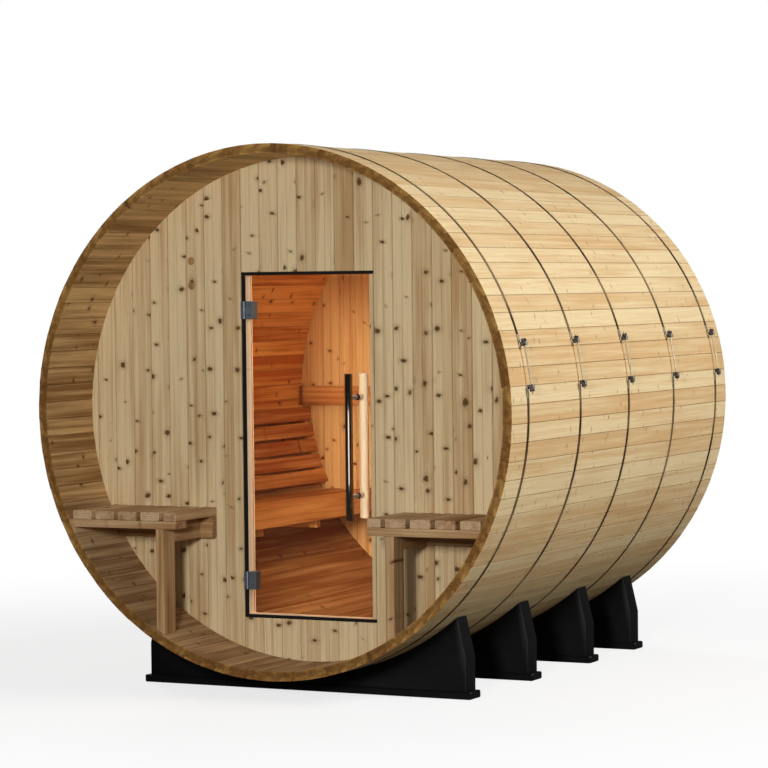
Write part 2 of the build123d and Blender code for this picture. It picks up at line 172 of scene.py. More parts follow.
def wood(name, pale, tan, knot, knottiness=0.5, knot_size=0.010, late=0.5, spacing=0.0055,
         stubby=1.0, rough=0.62):
    """Sawn softwood in three paints. The attribute grain holds each point's place in its own log,
    in metres: along it, then across and up from the pith. Growth rings are circles round the pith
    whose radius wanders along the log. Knots are ragged ovals, one in each jittered cell that has
    the luck, with a dark lash across the grain, and stubby ones are short along it. The attribute
    tone carries each board from pale to tan, and seam darkens the edges where boards meet, with
    grime and painted shade in the joints."""
    finish = Finish(name)
    pale, tan, knot = shade(*pale), shade(*tan), shade(*knot)
    place = finish.node("Attribute", {"attribute_name": "grain"}, {}, out="Vector")
    tone = finish.node("Attribute", {"attribute_name": "tone"}, {}, out="Fac")
    end = finish.node("Attribute", {"attribute_name": "end"}, {}, out="Fac")
    seam = finish.node("Attribute", {"attribute_name": "seam"}, {}, out="Fac")
    parts = finish.node("SeparateXYZ", {}, {"Vector": place})
    across, deep = parts.output("Y"), parts.output("Z")

    cells = (4.6, 14.0, 0.0)
    sockets = {"Vector": finish.scaled(place, cells), "Scale": 1.0, "Randomness": 1.0}
    spots = finish.node("TexVoronoi", {"feature": "F1"}, sockets, out="Position")
    luck = finish.node("SeparateColor", {}, {"Color": spots.output("Color")})
    heart = finish.scaled(spots, (1 / cells[0], 1 / cells[1], 0.0))
    flat = finish.scaled(place, (1, 1, 0))
    away = finish.node("VectorMath", {"operation": "SUBTRACT"}, {0: flat, 1: heart})
    apart = finish.node("SeparateXYZ", {}, {"Vector": away})
    wobble = finish.noise(place, (80, 130, 130), detail=4.0, rough=0.65) - 0.5
    lengthwise = apart * (0.55 + luck.output("Green") * 1.1) * stubby
    sideways = apart.output("Y")
    reach = (lengthwise * lengthwise + sideways * sideways) ** 0.5
    ragged = reach + wobble * 0.02
    size = ((luck - (1 - knottiness)) / knottiness).clamped() ** 0.5 * knot_size
    present = (size * 2500).clamped()
    core = ((size - ragged) * 200).clamped() * present
    halo = (1 - ragged / (size * 2.6 + 0.006)).clamped() * present
    bent = apart + sideways * (luck.output("Green") - 0.5) * 1.8 + wobble * 0.010
    short = 2600 * luck.output("Blue") + 900
    fall = ((bent * bent) * 90000 + (sideways * sideways) * short) ** 0.5
    lash = (1 - fall).clamped() * present

    drift = finish.noise(place, (0.9, 7, 7)) - 0.5
    radius = (across * across + deep * deep) ** 0.5 + drift * 0.026 + halo * 0.008
    ring = (radius / spacing).fraction() ** 2.2
    streaks = finish.noise(place, (1.1, 46, 46), detail=4.0, rough=0.62)
    fibres = finish.noise(place, (9, 620, 620), detail=1.0)
    patches = finish.noise(place, (1.7, 9, 9))

    lean = (tone * 0.9 - 0.05 + (streaks - 0.5) * 2.8 + (patches - 0.5) * 1.3).clamped()
    colour = finish.mix(lean, pale, tan)
    dense = (ring * (late * (0.55 + 0.9 * end))).clamped()
    colour = finish.mix(dense, colour, (0.62, 0.5, 0.36, 1.0), blend="MULTIPLY")
    colour = finish.mix(halo * halo * 0.8, colour, finish.mix(0.5, tan, knot))
    colour = finish.mix(lash * 0.7, colour, finish.mix(0.25, knot, tan))
    colour = finish.mix(core * 0.9, colour, knot)
    # Grime and painted shade: the joints between boards are darkened towards a deep brown.
    grime_and_joint_shade = (seam * (0.3 + finish.noise(place, (5, 30, 30), detail=3.0))).clamped()
    colour = finish.mix(grime_and_joint_shade * 0.85, colour, (0.12, 0.055, 0.016, 1.0))
    fuzz = 0.86 + 0.28 * fibres
    fuzz = finish.node("CombineColor", {}, {0: fuzz, 1: fuzz, 2: fuzz})
    colour = finish.mix(1.0, colour, fuzz, blend="MULTIPLY")
    height = ring * 0.35 + fibres * 0.5 + core * 0.4
    uneven = rough + (streaks - 0.5) * 0.2
    sockets = {"Base Color": colour, "Roughness": uneven, "Specular IOR Level": 0.12}
    return finish.surface(sockets, height, 0.4, 0.0006)


def lofted(name, rings, finishes, grain=None, tones=0.0, seams=0.0, sides=0, ends=0):
    """Several pieces in one mesh, each a closed profile carried along a path. rings[i, j, k] is
    point k of the profile at station j of piece i. Faces join each ring to the next, and one face
    closes each end. sides gives a finish to each span and point, tones a tone to each piece and
    seams a darkening to each point, grime and painted shade in the joints."""
    shape = count, stations, points = rings.shape[:3]
    index = np.arange(count * stations * points).reshape(shape)
    beside = np.roll(index, -1, axis=2)
    quads = [index[:, :-1], beside[:, :-1], beside[:, 1:], index[:, 1:]]
    quads = np.stack(quads, -1).reshape(-1, 4)
    lids = np.concatenate([index[:, 0, ::-1], index[:, -1]])
    dots = rings.reshape(-1, 3) - rings.reshape(-1, 3).mean(0)
    fans = [quads[:, [0, 1, 2]], quads[:, [0, 2, 3]]]
    fans += [lids[:, [0, k, k + 1]] for k in range(1, points - 1)]
    fans = np.concatenate(fans)
    volume = np.einsum("ij,ij->", dots[fans[:, 0]], np.cross(dots[fans[:, 1]], dots[fans[:, 2]]))
    if volume < 0:
        quads, lids = quads[:, ::-1], lids[:, ::-1]
    mesh = bpy.data.meshes.new(name)
    corners = np.concatenate([quads.ravel(), lids.ravel()])
    lid_starts = len(quads) * 4 + np.arange(len(lids)) * points
    starts = np.concatenate([np.arange(len(quads)) * 4, lid_starts])
    mesh.vertices.add(len(dots))
    mesh.vertices.foreach_set("co", rings.astype(np.float32).ravel())
    mesh.loops.add(len(corners))
    mesh.loops.foreach_set("vertex_index", corners.astype(np.int32))
    mesh.polygons.add(len(starts))
    mesh.polygons.foreach_set("loop_start", starts.astype(np.int32))
    chosen = np.broadcast_to(sides, (count, stations - 1, points)).ravel()
    chosen = np.concatenate([chosen, np.full(len(lids), ends)])
    mesh.polygons.foreach_set("material_index", chosen.astype(np.int32))
    mesh.polygons.foreach_set("use_smooth", np.ones(len(starts), bool))
    mesh.update(calc_edges=True)
    mesh.set_sharp_from_angle(angle=SHARP)
    for label, kind, domain, values in (
        ("end", "FLOAT", "FACE", np.repeat((0.0, 1.0), (len(quads), len(lids)))),
        ("tone", "FLOAT", "POINT", np.broadcast_to(np.reshape(tones, (-1, 1, 1)), shape)),
        ("seam", "FLOAT", "POINT", np.broadcast_to(seams, shape)),
        ("grain", "FLOAT_VECTOR", "POINT", rings if grain is None else grain),
    ):
        held = mesh.attributes.new(label, kind, domain)
        field = "vector" if kind == "FLOAT_VECTOR" else "value"
        held.data.foreach_set(field, values.astype(np.float32).ravel())
    for finish in finishes:
        mesh.materials.append(finish)
    piece = bpy.data.objects.new(name, mesh)
    bpy.context.scene.collection.objects.link(piece)
    return piece


def logs(count, spread, near, far):
    """Where each board lay in its own log: along it, then across and up from the pith."""
    along, across = chance.uniform(0, 50, count), chance.normal(0, spread, count)
    return np.stack([along, across, chance.uniform(near, far, count)], -1)


def fitted(piece, body, slot, *nodes):
    """The piece rides on its body and stands for its CAD nodes, which are hidden. slot is not used.
    """
    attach(piece, body)
    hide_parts(*nodes)
    return piece


def stave_profile():
    """Section of one stave as (out from the axis, round to the left), and how dark each point is:
    grime and painted shade in the joints.
    Down the left edge a half circle of the bead's radius stands out at mid thickness, up the right
    one it is hollow, and the four corners are eased."""
    half = np.tan(STEP / 2)

    def edge(out):
        return out * half - JOINT / 2

    turn = np.linspace(pi / 2, -pi / 2, 9)
    middle = (OUTER + INNER) / 2
    bead_out = middle + BEAD * np.sin(turn)
    bead = np.stack([bead_out, edge(bead_out) + BEAD * np.cos(turn)], -1)
    cove_out = middle - (BEAD + JOINT) * np.sin(turn)
    cove = np.stack([cove_out, -edge(cove_out) + (BEAD + JOINT) * np.cos(turn)], -1)
    outer = [(OUTER, edge(OUTER) - EASED), (OUTER - EASE_DEPTH, edge(OUTER))]
    inner = [(INNER + EASE_DEPTH, edge(INNER)), (INNER, edge(INNER) - EASED)]
    inner += [(INNER, EASED - edge(INNER)), (INNER + EASE_DEPTH, -edge(INNER))]
    close = [(OUTER - EASE_DEPTH, -edge(OUTER)), (OUTER, EASED - edge(OUTER))]
    dark = np.ones(26)
    dark[[0, 12, 13, 25]] = 0
    return np.concatenate([outer, bead, inner, cove, close]), dark


profile, dark = stave_profile()
inside = np.isclose(profile[:, 0], INNER) | np.isclose(profile[:, 0], INNER + EASE_DEPTH)
slope = 0.0002
places = [0, END_EDGE]
depths = [0, 0]
for wall_front in (FRONT_WALL - FRONT - JOINT, REAR_WALL - FRONT - JOINT):
    wall_back = wall_front + WALL + 2 * JOINT
    places += [wall_front - slope, wall_front, wall_back, wall_back + slope]
    depths += [0, GROOVE, GROOVE, 0]
places = np.array(places + [LENGTH - END_EDGE, LENGTH])
depths = np.array(depths + [0, 0])
shrink = np.where((places == 0) | (places == LENGTH), 1 - END_EDGE / 0.019, 1.0)
middle = np.array([(OUTER + INNER) / 2, 0])
section = middle + (profile - middle) * shrink[:, None, None]
section[:, inside, 0] += depths[:, None]
weathered = wood(
    "weathered_stave", (234, 210, 164), (216, 178, 126), (124, 82, 42), 0.8, 0.006, 0.3, stubby=1.9
)
# The porch faces of the staves are the same wood as outside, painted browner and darker: painted
# shade under the roof.
shaded_porch_face = wood("porch_stave_in_painted_shade", (228, 190, 134), (150, 110, 66), (84, 50, 24), 0.6, 0.0105, 0.5)
# The cabin faces are painted orange: the wood's own colour with painted warm lamplight in it.
warm_lit_cabin_face = wood("cabin_stave_in_painted_warm_light", (242, 172, 84), (184, 98, 28), (110, 46, 14), 0.6, 0.010, 0.5)
porch_floor = wood(
    "porch_floor_stave", (206, 172, 128), (138, 104, 68), (80, 50, 26), 0.6, 0.0105, 0.5
)
# The cabin floor faces are also painted orange, with warm lamplight in them.
cabin_floor = wood(
    "cabin_floor_stave_in_painted_warm_light", (206, 150, 90), (146, 88, 40), (96, 46, 18), 0.5, 0.010, 0.5
)
sawn_end = wood(
    "sawn_stave_end", (204, 158, 88), (136, 90, 38), (82, 48, 16), 0.3, 0.010, 0.8, 0.008, rough=0.8
)
span_middle = (places[1:] + places[:-1]) / 2
in_cabin = (span_middle > CABIN_FRONT - FRONT) & (span_middle < REAR_WALL - FRONT)
side_finish = np.where(inside[None, :], np.where(in_cabin, 2, 1)[:, None], 0)
side_finish[[0, -1]] = 3

for run, run_name in enumerate(RUNS):
    first = int(np.ceil((run - 0.5) * pi / 4 / STEP - 1e-9))
    last = int(np.ceil((run + 0.5) * pi / 4 / STEP - 1e-9))
    angle = np.arange(first, last) * STEP
    count = len(angle)
    out = np.stack([np.cos(angle), np.zeros(count), np.sin(angle)], -1)[:, None, None]
    round_left = np.stack([-np.sin(angle), np.zeros(count), np.cos(angle)], -1)[:, None, None]
    rings = section[None, :, :, :1] * out + section[None, :, :, 1:] * round_left
    rings[..., 1] += FRONT + places[None, :, None]
    rings[:, :2, :, 1] += chance.uniform(0, 0.003, count)[:, None, None]
    rings[:, -2:, :, 1] -= chance.uniform(0, 0.003, count)[:, None, None]
    rings[..., 2] += AXIS
    log = logs(count, 0.025, 0.015, 0.09)
    local = np.broadcast_arrays(places[:, None], section[..., 1], section[..., 0] - OUTER)
    # Runs on the left and underneath lean to the tan paint on every face: painted shade on the side
    # away from the lamps.
    shaded = run in SHADED_RUNS
    faces = (porch_floor, cabin_floor) if run in FLOOR_RUNS else (shaded_porch_face, warm_lit_cabin_face)
    staves = lofted(
        f"barrel_{run_name}",
        rings,
        [weathered, *faces, sawn_end],
        grain=np.stack(local, -1)[None] + log[:, None, None],
        tones=chance.beta(2.2, 0.9, count) if shaded else chance.beta(0.8, 1.3, count),
        seams=dark,
        sides=side_finish,
        ends=3,
    )
    fitted(staves, "sauna", "staves", f"staves_{run_name}")


# End walls. Each is a row of upright tongue-and-groove boards with a V along every joint and a
# finer one down the middle. Their ends are cut to the circle and sit in the staves' grooves,
# and the front one is cut out for the door.
WALL_RADIUS = 1.0377
DOOR_HALF = 0.304
SILL = 0.281
HEAD = 1.702
BOARD = 2 * DOOR_HALF / 7
V_JOINT = 0.0035
V_MIDDLE = 0.0018
knotty_wall = wood(
    "porch_wall_board", (220, 198, 156), (184, 150, 106), (84, 55, 20),
    0.95, 0.0145, 0.3, stubby=1.2,
)
# The wall boards' cabin faces are the same wood as their porch faces, painted orange with warm
# lamplight in it.
cabin_wall = wood(
    "cabin_wall_board_in_painted_warm_light", (234, 188, 122), (200, 136, 74), (112, 54, 20), 0.9, 0.013, 0.4
)


def wall_boards(name, wall_front, edges, low, high, front_is_porch):
    """Boards side by side between the edges. Board i's profile runs along its face from edge i to
    edge i + 1 and back along its rear, and each point is carried from height low to height high,
    or to the circle of the wall where that comes first."""
    left, right = edges[:-1] + JOINT / 4, edges[1:] - JOINT / 4
    centre = (left + right) / 2
    steps = np.linspace(0, 1, 5)
    first = (left + V_JOINT) + (centre - V_MIDDLE - left - V_JOINT) * steps[:, None]
    second = (centre + V_MIDDLE) + (right - V_JOINT - centre - V_MIDDLE) * steps[:, None]
    back = (right - V_JOINT) + (left - right + 2 * V_JOINT) * np.linspace(0, 1, 9)[:, None]
    across = np.concatenate([[left], first, [centre], second, [right, right], back, [left]]).T
    face_depth = [V_JOINT] + [0] * 5 + [V_MIDDLE] + [0] * 5 + [V_JOINT]
    depth = np.array(face_depth + [WALL - V_JOINT] + [WALL] * 9 + [WALL - V_JOINT])
    # The V of each joint and of the middle groove is darkened: grime and painted shade.
    dark = [0.6] + [0] * 5 + [0.4] + [0] * 5 + [0.6, 0.6] + [0] * 9 + [0.6]
    chord = np.sqrt(WALL_RADIUS**2 - across**2)
    bottom = np.maximum(low, AXIS - chord)
    top = np.minimum(high, AXIS + chord)
    heights = np.stack([bottom, top], 1)
    count = len(left)
    rings = np.stack(np.broadcast_arrays(across[:, None], wall_front + depth, heights), -1)
    log = logs(count, 0.03, 0.02, 0.08)
    local = np.stack(np.broadcast_arrays(heights, (across - centre[:, None])[:, None], -depth), -1)
    face = np.array([0] * 13 + [1] * 11)
    return lofted(
        name,
        rings,
        [knotty_wall, cabin_wall],
        grain=local + log[:, None, None],
        tones=chance.beta(1.0, 1.4, count),
        seams=dark,
        sides=face if front_is_porch else 1 - face,
    )


over_door = np.linspace(-DOOR_HALF, DOOR_HALF, 8)
beside_door = DOOR_HALF + GAP + np.arange(9) * BOARD
beside_door = np.append(beside_door, WALL_RADIUS - 0.001)
for node, edges, low, high in (
    ("front_wall_left", -beside_door[::-1], 0, 3),
    ("front_wall_right", beside_door, 0, 3),
    ("front_wall_over_door", over_door, HEAD, 3),
    ("front_wall_under_door", over_door, 0, SILL),
):
    boards = wall_boards(f"{node}_boards", FRONT_WALL, edges, low, high, True)
    fitted(boards, "sauna", "front_wall", node)
for node, edges in (
    ("rear_wall_left", -beside_door[::-1]),
    ("rear_wall_right", beside_door),
    ("rear_wall_middle", over_door),
):
    boards = wall_boards(f"{node}_boards", REAR_WALL, edges, 0, 3, False)
    fitted(boards, "sauna", "rear_wall", node)


# Wall plugs. Two round softwood plugs close the bored holes of a vent in the front wall, left of
# the door. They are glued in and stand a hair proud, with a dark line round them that is glue and
# painted shade in the joint.
PLUGS = [(-0.5395, FRONT_WALL, 1.7507), (-0.5386, FRONT_WALL, 1.6492)]


def turned(centres, axis, stations, radii, points=24, sides=None):
    """Round pieces on parallel axes. Ring j lies stations[j] along the axis from each centre, and
    its radius is radii[j]. With few points it is a nut's or a bolt's hexagon."""
    axis = np.array(axis, float)
    across = np.cross(axis, (0.0, 0.0, 1.0) if abs(axis[2]) < 0.9 else (1.0, 0.0, 0.0))
    across /= np.linalg.norm(across)
    other = np.cross(axis, across)
    turn = np.arange(points) * 2 * pi / points
    circle = np.cos(turn)[:, None] * across + np.sin(turn)[:, None] * other
    centres = np.atleast_2d(centres)[:, None, None]
    stations, radii = (np.asarray(v, float)[:, None, None] for v in (stations, radii))
    return centres + stations * axis + radii * circle


plug_out = [-0.002, 0.0002, 0.0003, 0.0002, 0.0007, 0.0009, 0.0009]
plug_radii = [0.0158, 0.0158, 0.0150, 0.0140, 0.0136, 0.0125, 0.004]
plug_logs = np.array([[2.0, 0.01, 0.03], [7.0, 0.02, 0.05]])[:, None, None]
rings = turned(PLUGS, (0, -1, 0), plug_out, plug_radii, 40)
local = (rings - np.array(PLUGS)[:, None, None])[..., [2, 0, 1]] + plug_logs
# The plugs' sides and rims get glue and painted shade.
glue_and_joint_shade = np.array([1, 1, 1, 1, 0.3, 0, 0])[:, None]
# They take the porch stave wood, with its painted shade.
plugs = lofted("front_wall_plugs", rings, [shaded_porch_face], local, tones=[0.9, 0.8], seams=glue_and_joint_shade)
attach(plugs, "sauna")


# Door frame. Four planed boards line the cut in the front wall. The head, the sill and the jamb
# on the hinge side stand back from the wall's face for the black strip of the seal, and the
# other jamb comes flush with it.
def sawn(low, high, along, ease=0.0015):
    """Boards as boxes with eased edges. The profile is a rectangle with its corners cut off at 45
    degrees, carried along the given axis, and the first and last stations are drawn in by the
    same cut. Returns the rings and each point's place along, across and up from a pith."""
    low, high = np.atleast_2d(low).astype(float), np.atleast_2d(high).astype(float)
    ease = min(ease, (high - low).min() / 3)
    u, v = [axis for axis in range(3) if axis != along]
    u_low, u_high, v_low, v_high = low[:, u], high[:, u], low[:, v], high[:, v]
    start, end = low[:, along], high[:, along]
    path = np.stack([start, start + ease, end - ease, end], -1)
    inset = np.array([ease, 0, 0, ease]) * 0.7
    rings = np.zeros((len(low), 4, 8, 3))
    a, b, c, d = (edge[:, None] for edge in (u_low, u_high, v_low, v_high))
    a, b, c, d = a + inset, b - inset, c + inset, d - inset
    rings[..., u] = np.stack([a + ease, b - ease, b, b, b - ease, a + ease, a, a], -1)
    rings[..., v] = np.stack([c, c, c + ease, d - ease, d, d, d - ease, c + ease], -1)
    rings[..., along] = path[..., None]
    centre = (low + high) / 2
    log = logs(len(low), 0.02, 0.01, 0.06)
    local = (rings - centre[:, None, None])[..., [along, u, v]] + log[:, None, None]
    return rings, local


FRAME_BACK = FRONT_WALL + 0.064
JAMB = 0.018
RAIL = 0.014
SEAL = 0.008
# The frame's boards are pale wood painted near white, with painted light on the jamb behind the
# glass.
frame_in_painted_light = wood(
    "door_frame_board_in_painted_light", (255, 232, 200), (250, 210, 166), (130, 88, 48), 0.2, 0.006, 0.25
)
side, sill_low, head_high = DOOR_HALF - GAP, SILL + GAP, HEAD - GAP
on_sill, under_head = SILL + RAIL, HEAD - RAIL
jamb_inner = DOOR_HALF - JAMB
seal_back = FRONT_WALL + SEAL + GAP
for node, low, high, along in (
    ("door_head", (-side, seal_back, under_head + GAP), (side, FRAME_BACK, head_high), 0),
    ("door_sill", (-side, seal_back, sill_low), (side, FRAME_BACK, on_sill - GAP), 0),
    ("door_jamb_left", (-side, seal_back, on_sill), (-jamb_inner, FRAME_BACK, under_head), 2),
    ("door_jamb_right", (jamb_inner, FRONT_WALL, on_sill), (side, FRAME_BACK, under_head), 2),
):
    rings, local = sawn(low, high, along, 0.001)
    timber = knotty_wall if node == "door_jamb_right" else frame_in_painted_light
    board = lofted(f"{node}_board", rings, [timber], grain=local, tones=chance.uniform(0.2, 0.8, 1))
    fitted(board, "sauna", "door_frame", node)


# Door seal. Black rubber strips are pressed into the rebate of the head, the sill and the jamb on
# the hinge side. Each has a rounded face and lies flush with the wall.
rubber = Finish("black_rubber")
spot = rubber.spot()
dusty = rubber.noise(spot, (40, 40, 40), detail=3.0)
rubber_black = rubber.surface(
    {
        "Base Color": rubber.mix(dusty, shade(12, 11, 11), shade(27, 24, 22)),
        "Roughness": 0.5 + dusty * 0.3,
        "Specular IOR Level": 0.15,
    }
)
strip_back = FRONT_WALL + SEAL
seal_low = [(-side, FRONT_WALL, under_head + GAP), (-side, FRONT_WALL, sill_low)]
seal_high = [(side, strip_back, head_high), (side, strip_back, on_sill - GAP)]
strips, _ = sawn(seal_low, seal_high, 0, 0.002)
upright_high = (-jamb_inner, strip_back, under_head)
upright, _ = sawn((-side, FRONT_WALL, on_sill), upright_high, 2, 0.002)
seal = lofted("door_seal_strips", np.concatenate([strips, upright]), [rubber_black])
fitted(seal, "sauna", "seal", "door_seal")


# Hinges. Two stainless clamps grip the edge of the glass, each a block in front and a plate
# behind, drawn together by two countersunk screws. A pin carries each clamp's knuckle between
# the two knuckles of a bracket that is screwed to the jamb.
HINGE = (JAMB - DOOR_HALF, FRONT_WALL - 0.008)
HINGE_HEIGHTS = np.array([SILL + 0.153, HEAD - 0.156])
HINGE_HALF = 0.036
KNUCKLE = 0.007
KNUCKLE_HALF = 0.017
PIN = 0.0035
GLASS_FRONT = FRONT_WALL + 0.034
GLASS_BACK = GLASS_FRONT + 0.008


def brushed(name, colour, rough):
    """Brushed metal. Noise squeezed along the height of the object lightens and dents it, and a
    wider noise roughens it."""
    finish = Finish(name)
    spot = finish.spot()
    lines = finish.noise(spot, (40, 40, 1200), detail=3.0)
    smears = finish.noise(spot, (9, 9, 9))
    tint = finish.mix(lines * 0.5, colour, tuple(0.6 * c for c in colour[:3]) + (1.0,))
    sockets = {"Base Color": tint, "Metallic": 1.0, "Roughness": rough + (smears - 0.5) * 0.2}
    return finish.surface(sockets, lines, 0.15, 0.0002)


def rounded(low, high, radius, edge=0.0008):
    """Stations and radii of a straight round piece with a small round over each end."""
    steps = np.array([0, 0.3, 1, 2]) * edge
    drops = np.array([1, 0.3, 0, 0, 0, 0, 0.3, 1]) * edge
    return np.concatenate([low + steps, high - steps[::-1]]), radius - drops


stainless = brushed("bolt_stainless", shade(196, 202, 206), 0.36)
satin = brushed("hinge_satin_steel", shade(126, 136, 146), 0.52)
dark_steel = brushed("hinge_screw_steel", shade(120, 122, 124), 0.3)


def merged(name, made):
    """The first of the made pieces, with the others joined to it, under one name."""
    whole = made[0]
    chosen = {"active_object": whole, "selected_editable_objects": made, "object": whole}
    with bpy.context.temp_override(**chosen):
        bpy.ops.object.join()
    whole.name = whole.data.name = name
    return whole


def joined(name, finishes, *groups):
    """One mesh from several sets of rings, each with the number of its finish. They may differ in
    their numbers of stations and points."""
    made = [
        lofted(f"{name}_{n}", rings, finishes, sides=which, ends=which)
        for n, (rings, which) in enumerate(groups)
    ]
    return merged(name, made)


def at_hinges(x, y, *heights):
    """Points at each hinge, the heights given from its middle."""
    return [(x, y, middle + height) for middle in HINGE_HEIGHTS for height in heights]


knuckle_low, knuckle_high = KNUCKLE_HALF + GAP, HINGE_HALF
groups = []
for height in HINGE_HEIGHTS:
    centre = (HINGE[0], HINGE[1], height)
    for low, high, radius, which in (
        (knuckle_low, knuckle_high, KNUCKLE, 0),
        (-knuckle_high, -knuckle_low, KNUCKLE, 0),
        (0.001 - HINGE_HALF, HINGE_HALF - 0.001, PIN, 1),
    ):
        groups.append((turned(centre, (0, 0, 1), *rounded(low, high, radius)), which))
plate_front = FRONT_WALL - 0.0063
plate_low = at_hinges(-DOOR_HALF, plate_front, -HINGE_HALF)
plate_high = at_hinges(HINGE[0] - 0.002, FRONT_WALL - GAP, HINGE_HALF)
groups.append((sawn(plate_low, plate_high, 2, 0.0008)[0], 0))
screws = at_hinges(HINGE[0] - 0.011, plate_front, -0.026, 0.026)
head_out = [-0.001, 0, 0.0005, 0.0005, 0.0001]
head_radii = [0.0036, 0.0036, 0.0032, 0.0018, 0.0001]
groups.append((turned(screws, (0, -1, 0), head_out, head_radii, 12), 1))
brackets = joined("hinge_bracket_pair", [satin, dark_steel], *groups)
fitted(brackets, "sauna", "hinge_steel", "hinge_brackets")

block_left = HINGE[0] + KNUCKLE + 0.001
block_right = block_left + 0.032
block_low = at_hinges(block_left, HINGE[1], -HINGE_HALF)
block_high = at_hinges(block_right, GLASS_FRONT - GAP, HINGE_HALF)
back_low = at_hinges(block_left, GLASS_BACK + GAP, -HINGE_HALF)
back_high = at_hinges(block_left + 0.020, GLASS_BACK + 0.0103, HINGE_HALF)
web_low = at_hinges(HINGE[0] + 0.0045, HINGE[1], -KNUCKLE_HALF)
web_high = at_hinges(block_left + 0.002, HINGE[1] + 0.006, KNUCKLE_HALF)
clamp_screws = at_hinges(block_left + 0.016, HINGE[1], -0.02, 0.02)
knuckles = at_hinges(*HINGE, 0)
head_out = [-0.001, 0, 0.0006, 0.0006, 0.0001]
head_radii = [0.0048, 0.0048, 0.0042, 0.0022, 0.0001]
groups = [
    (sawn(block_low, block_high, 2, 0.0015)[0], 0),
    (sawn(back_low, back_high, 2, 0.0015)[0], 0),
    (sawn(web_low, web_high, 2, 0.0005)[0], 0),
    (turned(knuckles, (0, 0, 1), *rounded(-KNUCKLE_HALF, KNUCKLE_HALF, KNUCKLE - 0.0002)), 0),
    (turned(clamp_screws, (0, -1, 0), head_out, head_radii, 16), 1),
]
clamps = joined("hinge_clamp_pair", [satin, dark_steel], *groups)
fitted(clamps, "door", "hinge_steel", "hinge_clamps")


# Door glass. One pane of bronze-tinted toughened glass, 8 mm thick, is bored for the two bolts of
# the pulls. It is the CAD pane with the glass finish.
glass = Finish("bronze_glass")
spot = glass.spot()
smudge = glass.noise(spot, (5, 5, 5), detail=4.0)
pane = glass.node(
    "BsdfPrincipled",
    {},
    {
        "Base Color": (0.95, 0.89, 0.79, 1.0),
        "Roughness": smudge * 0.02,
        "IOR": 1.45,
        "Specular Tint": (0.18, 0.18, 0.18, 1.0),
        "Transmission Weight": 1.0,
    },
)
clear = glass.node("BsdfTransparent", {}, {"Color": (0.97, 0.94, 0.89, 1.0)})
shadow_ray = glass.node("LightPath", {}, {}, out="Is Shadow Ray")
glass.wired(glass.node("MixShader", {}, {0: shadow_ray, 1: pane, 2: clear}))
pane_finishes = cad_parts["door_glass"].data.materials
pane_finishes.clear()
pane_finishes.append(glass.material)


# Pulls. Outside is a polished steel tube with a plug in each end, and inside a round wooden bar.
# Two bolts pass through the glass and hold both, with a black washer on each face of the pane.
PULL_X = 0.206
PULL_LOW, PULL_HIGH = 0.695, 1.287
TUBE_RADIUS, BAR_RADIUS = 0.016, 0.019
OUTSIDE_PULL = GLASS_FRONT - 0.054 - TUBE_RADIUS
INSIDE_PULL = GLASS_BACK + 0.040 + BAR_RADIUS
BOLT_HEIGHTS = (0.791, 1.191)
polished = Finish("polished_pull")
spot = polished.spot()
marks = polished.noise(spot, (30, 30, 30), detail=3.0)
pull_steel = polished.surface(
    {
        "Base Color": polished.mix(marks, shade(158, 142, 132), shade(136, 122, 112)),
        "Metallic": 1.0,
        "Roughness": 0.03 + marks * 0.04,
    }
)
centre = (PULL_X, OUTSIDE_PULL, 0)
tube = turned(centre, (0, 0, 1), *rounded(PULL_LOW, PULL_HIGH, TUBE_RADIUS, 0.001), 48)
bar = lofted("outside_pull_tube", tube, [pull_steel])
fitted(bar, "door", "pull_metal", "outside_pull")

pull_wood = wood(
    "pull_wood", (196, 178, 156), (178, 150, 120), (150, 100, 56), 0.05, 0.004, 0.3, rough=0.45
)
centre = (PULL_X, INSIDE_PULL, 0)
rings = turned(centre, (0, 0, 1), *rounded(PULL_LOW, PULL_HIGH, BAR_RADIUS, 0.003), 40)
local = (rings - centre)[..., [2, 0, 1]] + (3.0, 0.02, 0.03)
bar = lofted("inside_pull_bar", rings, [pull_wood], grain=local)
fitted(bar, "door", "pull_wood", "inside_pull")

bolt_front = OUTSIDE_PULL + TUBE_RADIUS + GAP
bolt_back = INSIDE_PULL - BAR_RADIUS - GAP
bolts = [(PULL_X, 0, height) for height in BOLT_HEIGHTS]
groups = [
    (turned(bolts, (0, 1, 0), *rounded(bolt_front, GLASS_BACK + 0.0030, 0.009, 0.0005), 28), 0),
    (turned(bolts, (0, 1, 0), *rounded(GLASS_BACK + 0.0036, bolt_back, 0.012, 0.003), 28), 2),
]
for low, high, radius in (
    (GLASS_FRONT - 0.0035, GLASS_FRONT - 0.0002, 0.011),
    (GLASS_BACK + 0.0002, GLASS_BACK + 0.0034, 0.013),
):
    groups.append((turned(bolts, (0, 1, 0), *rounded(low, high, radius, 0.0008), 28), 1))
pair = joined("pull_bolt_pair", [stainless, rubber_black, pull_wood], *groups)
fitted(pair, "door", "hinge_steel", "pull_bolts")


# Porch benches. Five slats run from the front edge to the wall on each side. They rest on a flat
# rail at the front, which a post carries, and on a ledger on the wall, and a short stringer joins
# post and ledger. All is planed softwood, 32 to 38 mm thick.
PLANK = 0.038
PLANK_WIDE = 0.089
BENCH_INNER = 0.433
BENCH_FRONT = FRONT + 0.020
BENCH_BACK = FRONT_WALL - GAP
SEAT_TOP = 0.732
SLAT_LOW = SEAT_TOP - 0.036
bench_board = wood(
    "porch_bench_board", (208, 176, 134), (152, 112, 69), (92, 58, 34), 0.5, 0.012, 0.4
)
bench_end = wood(
    "porch_bench_end", (206, 176, 142), (160, 124, 90), (92, 58, 34), 0.2, 0.009, 0.8, 0.009
)


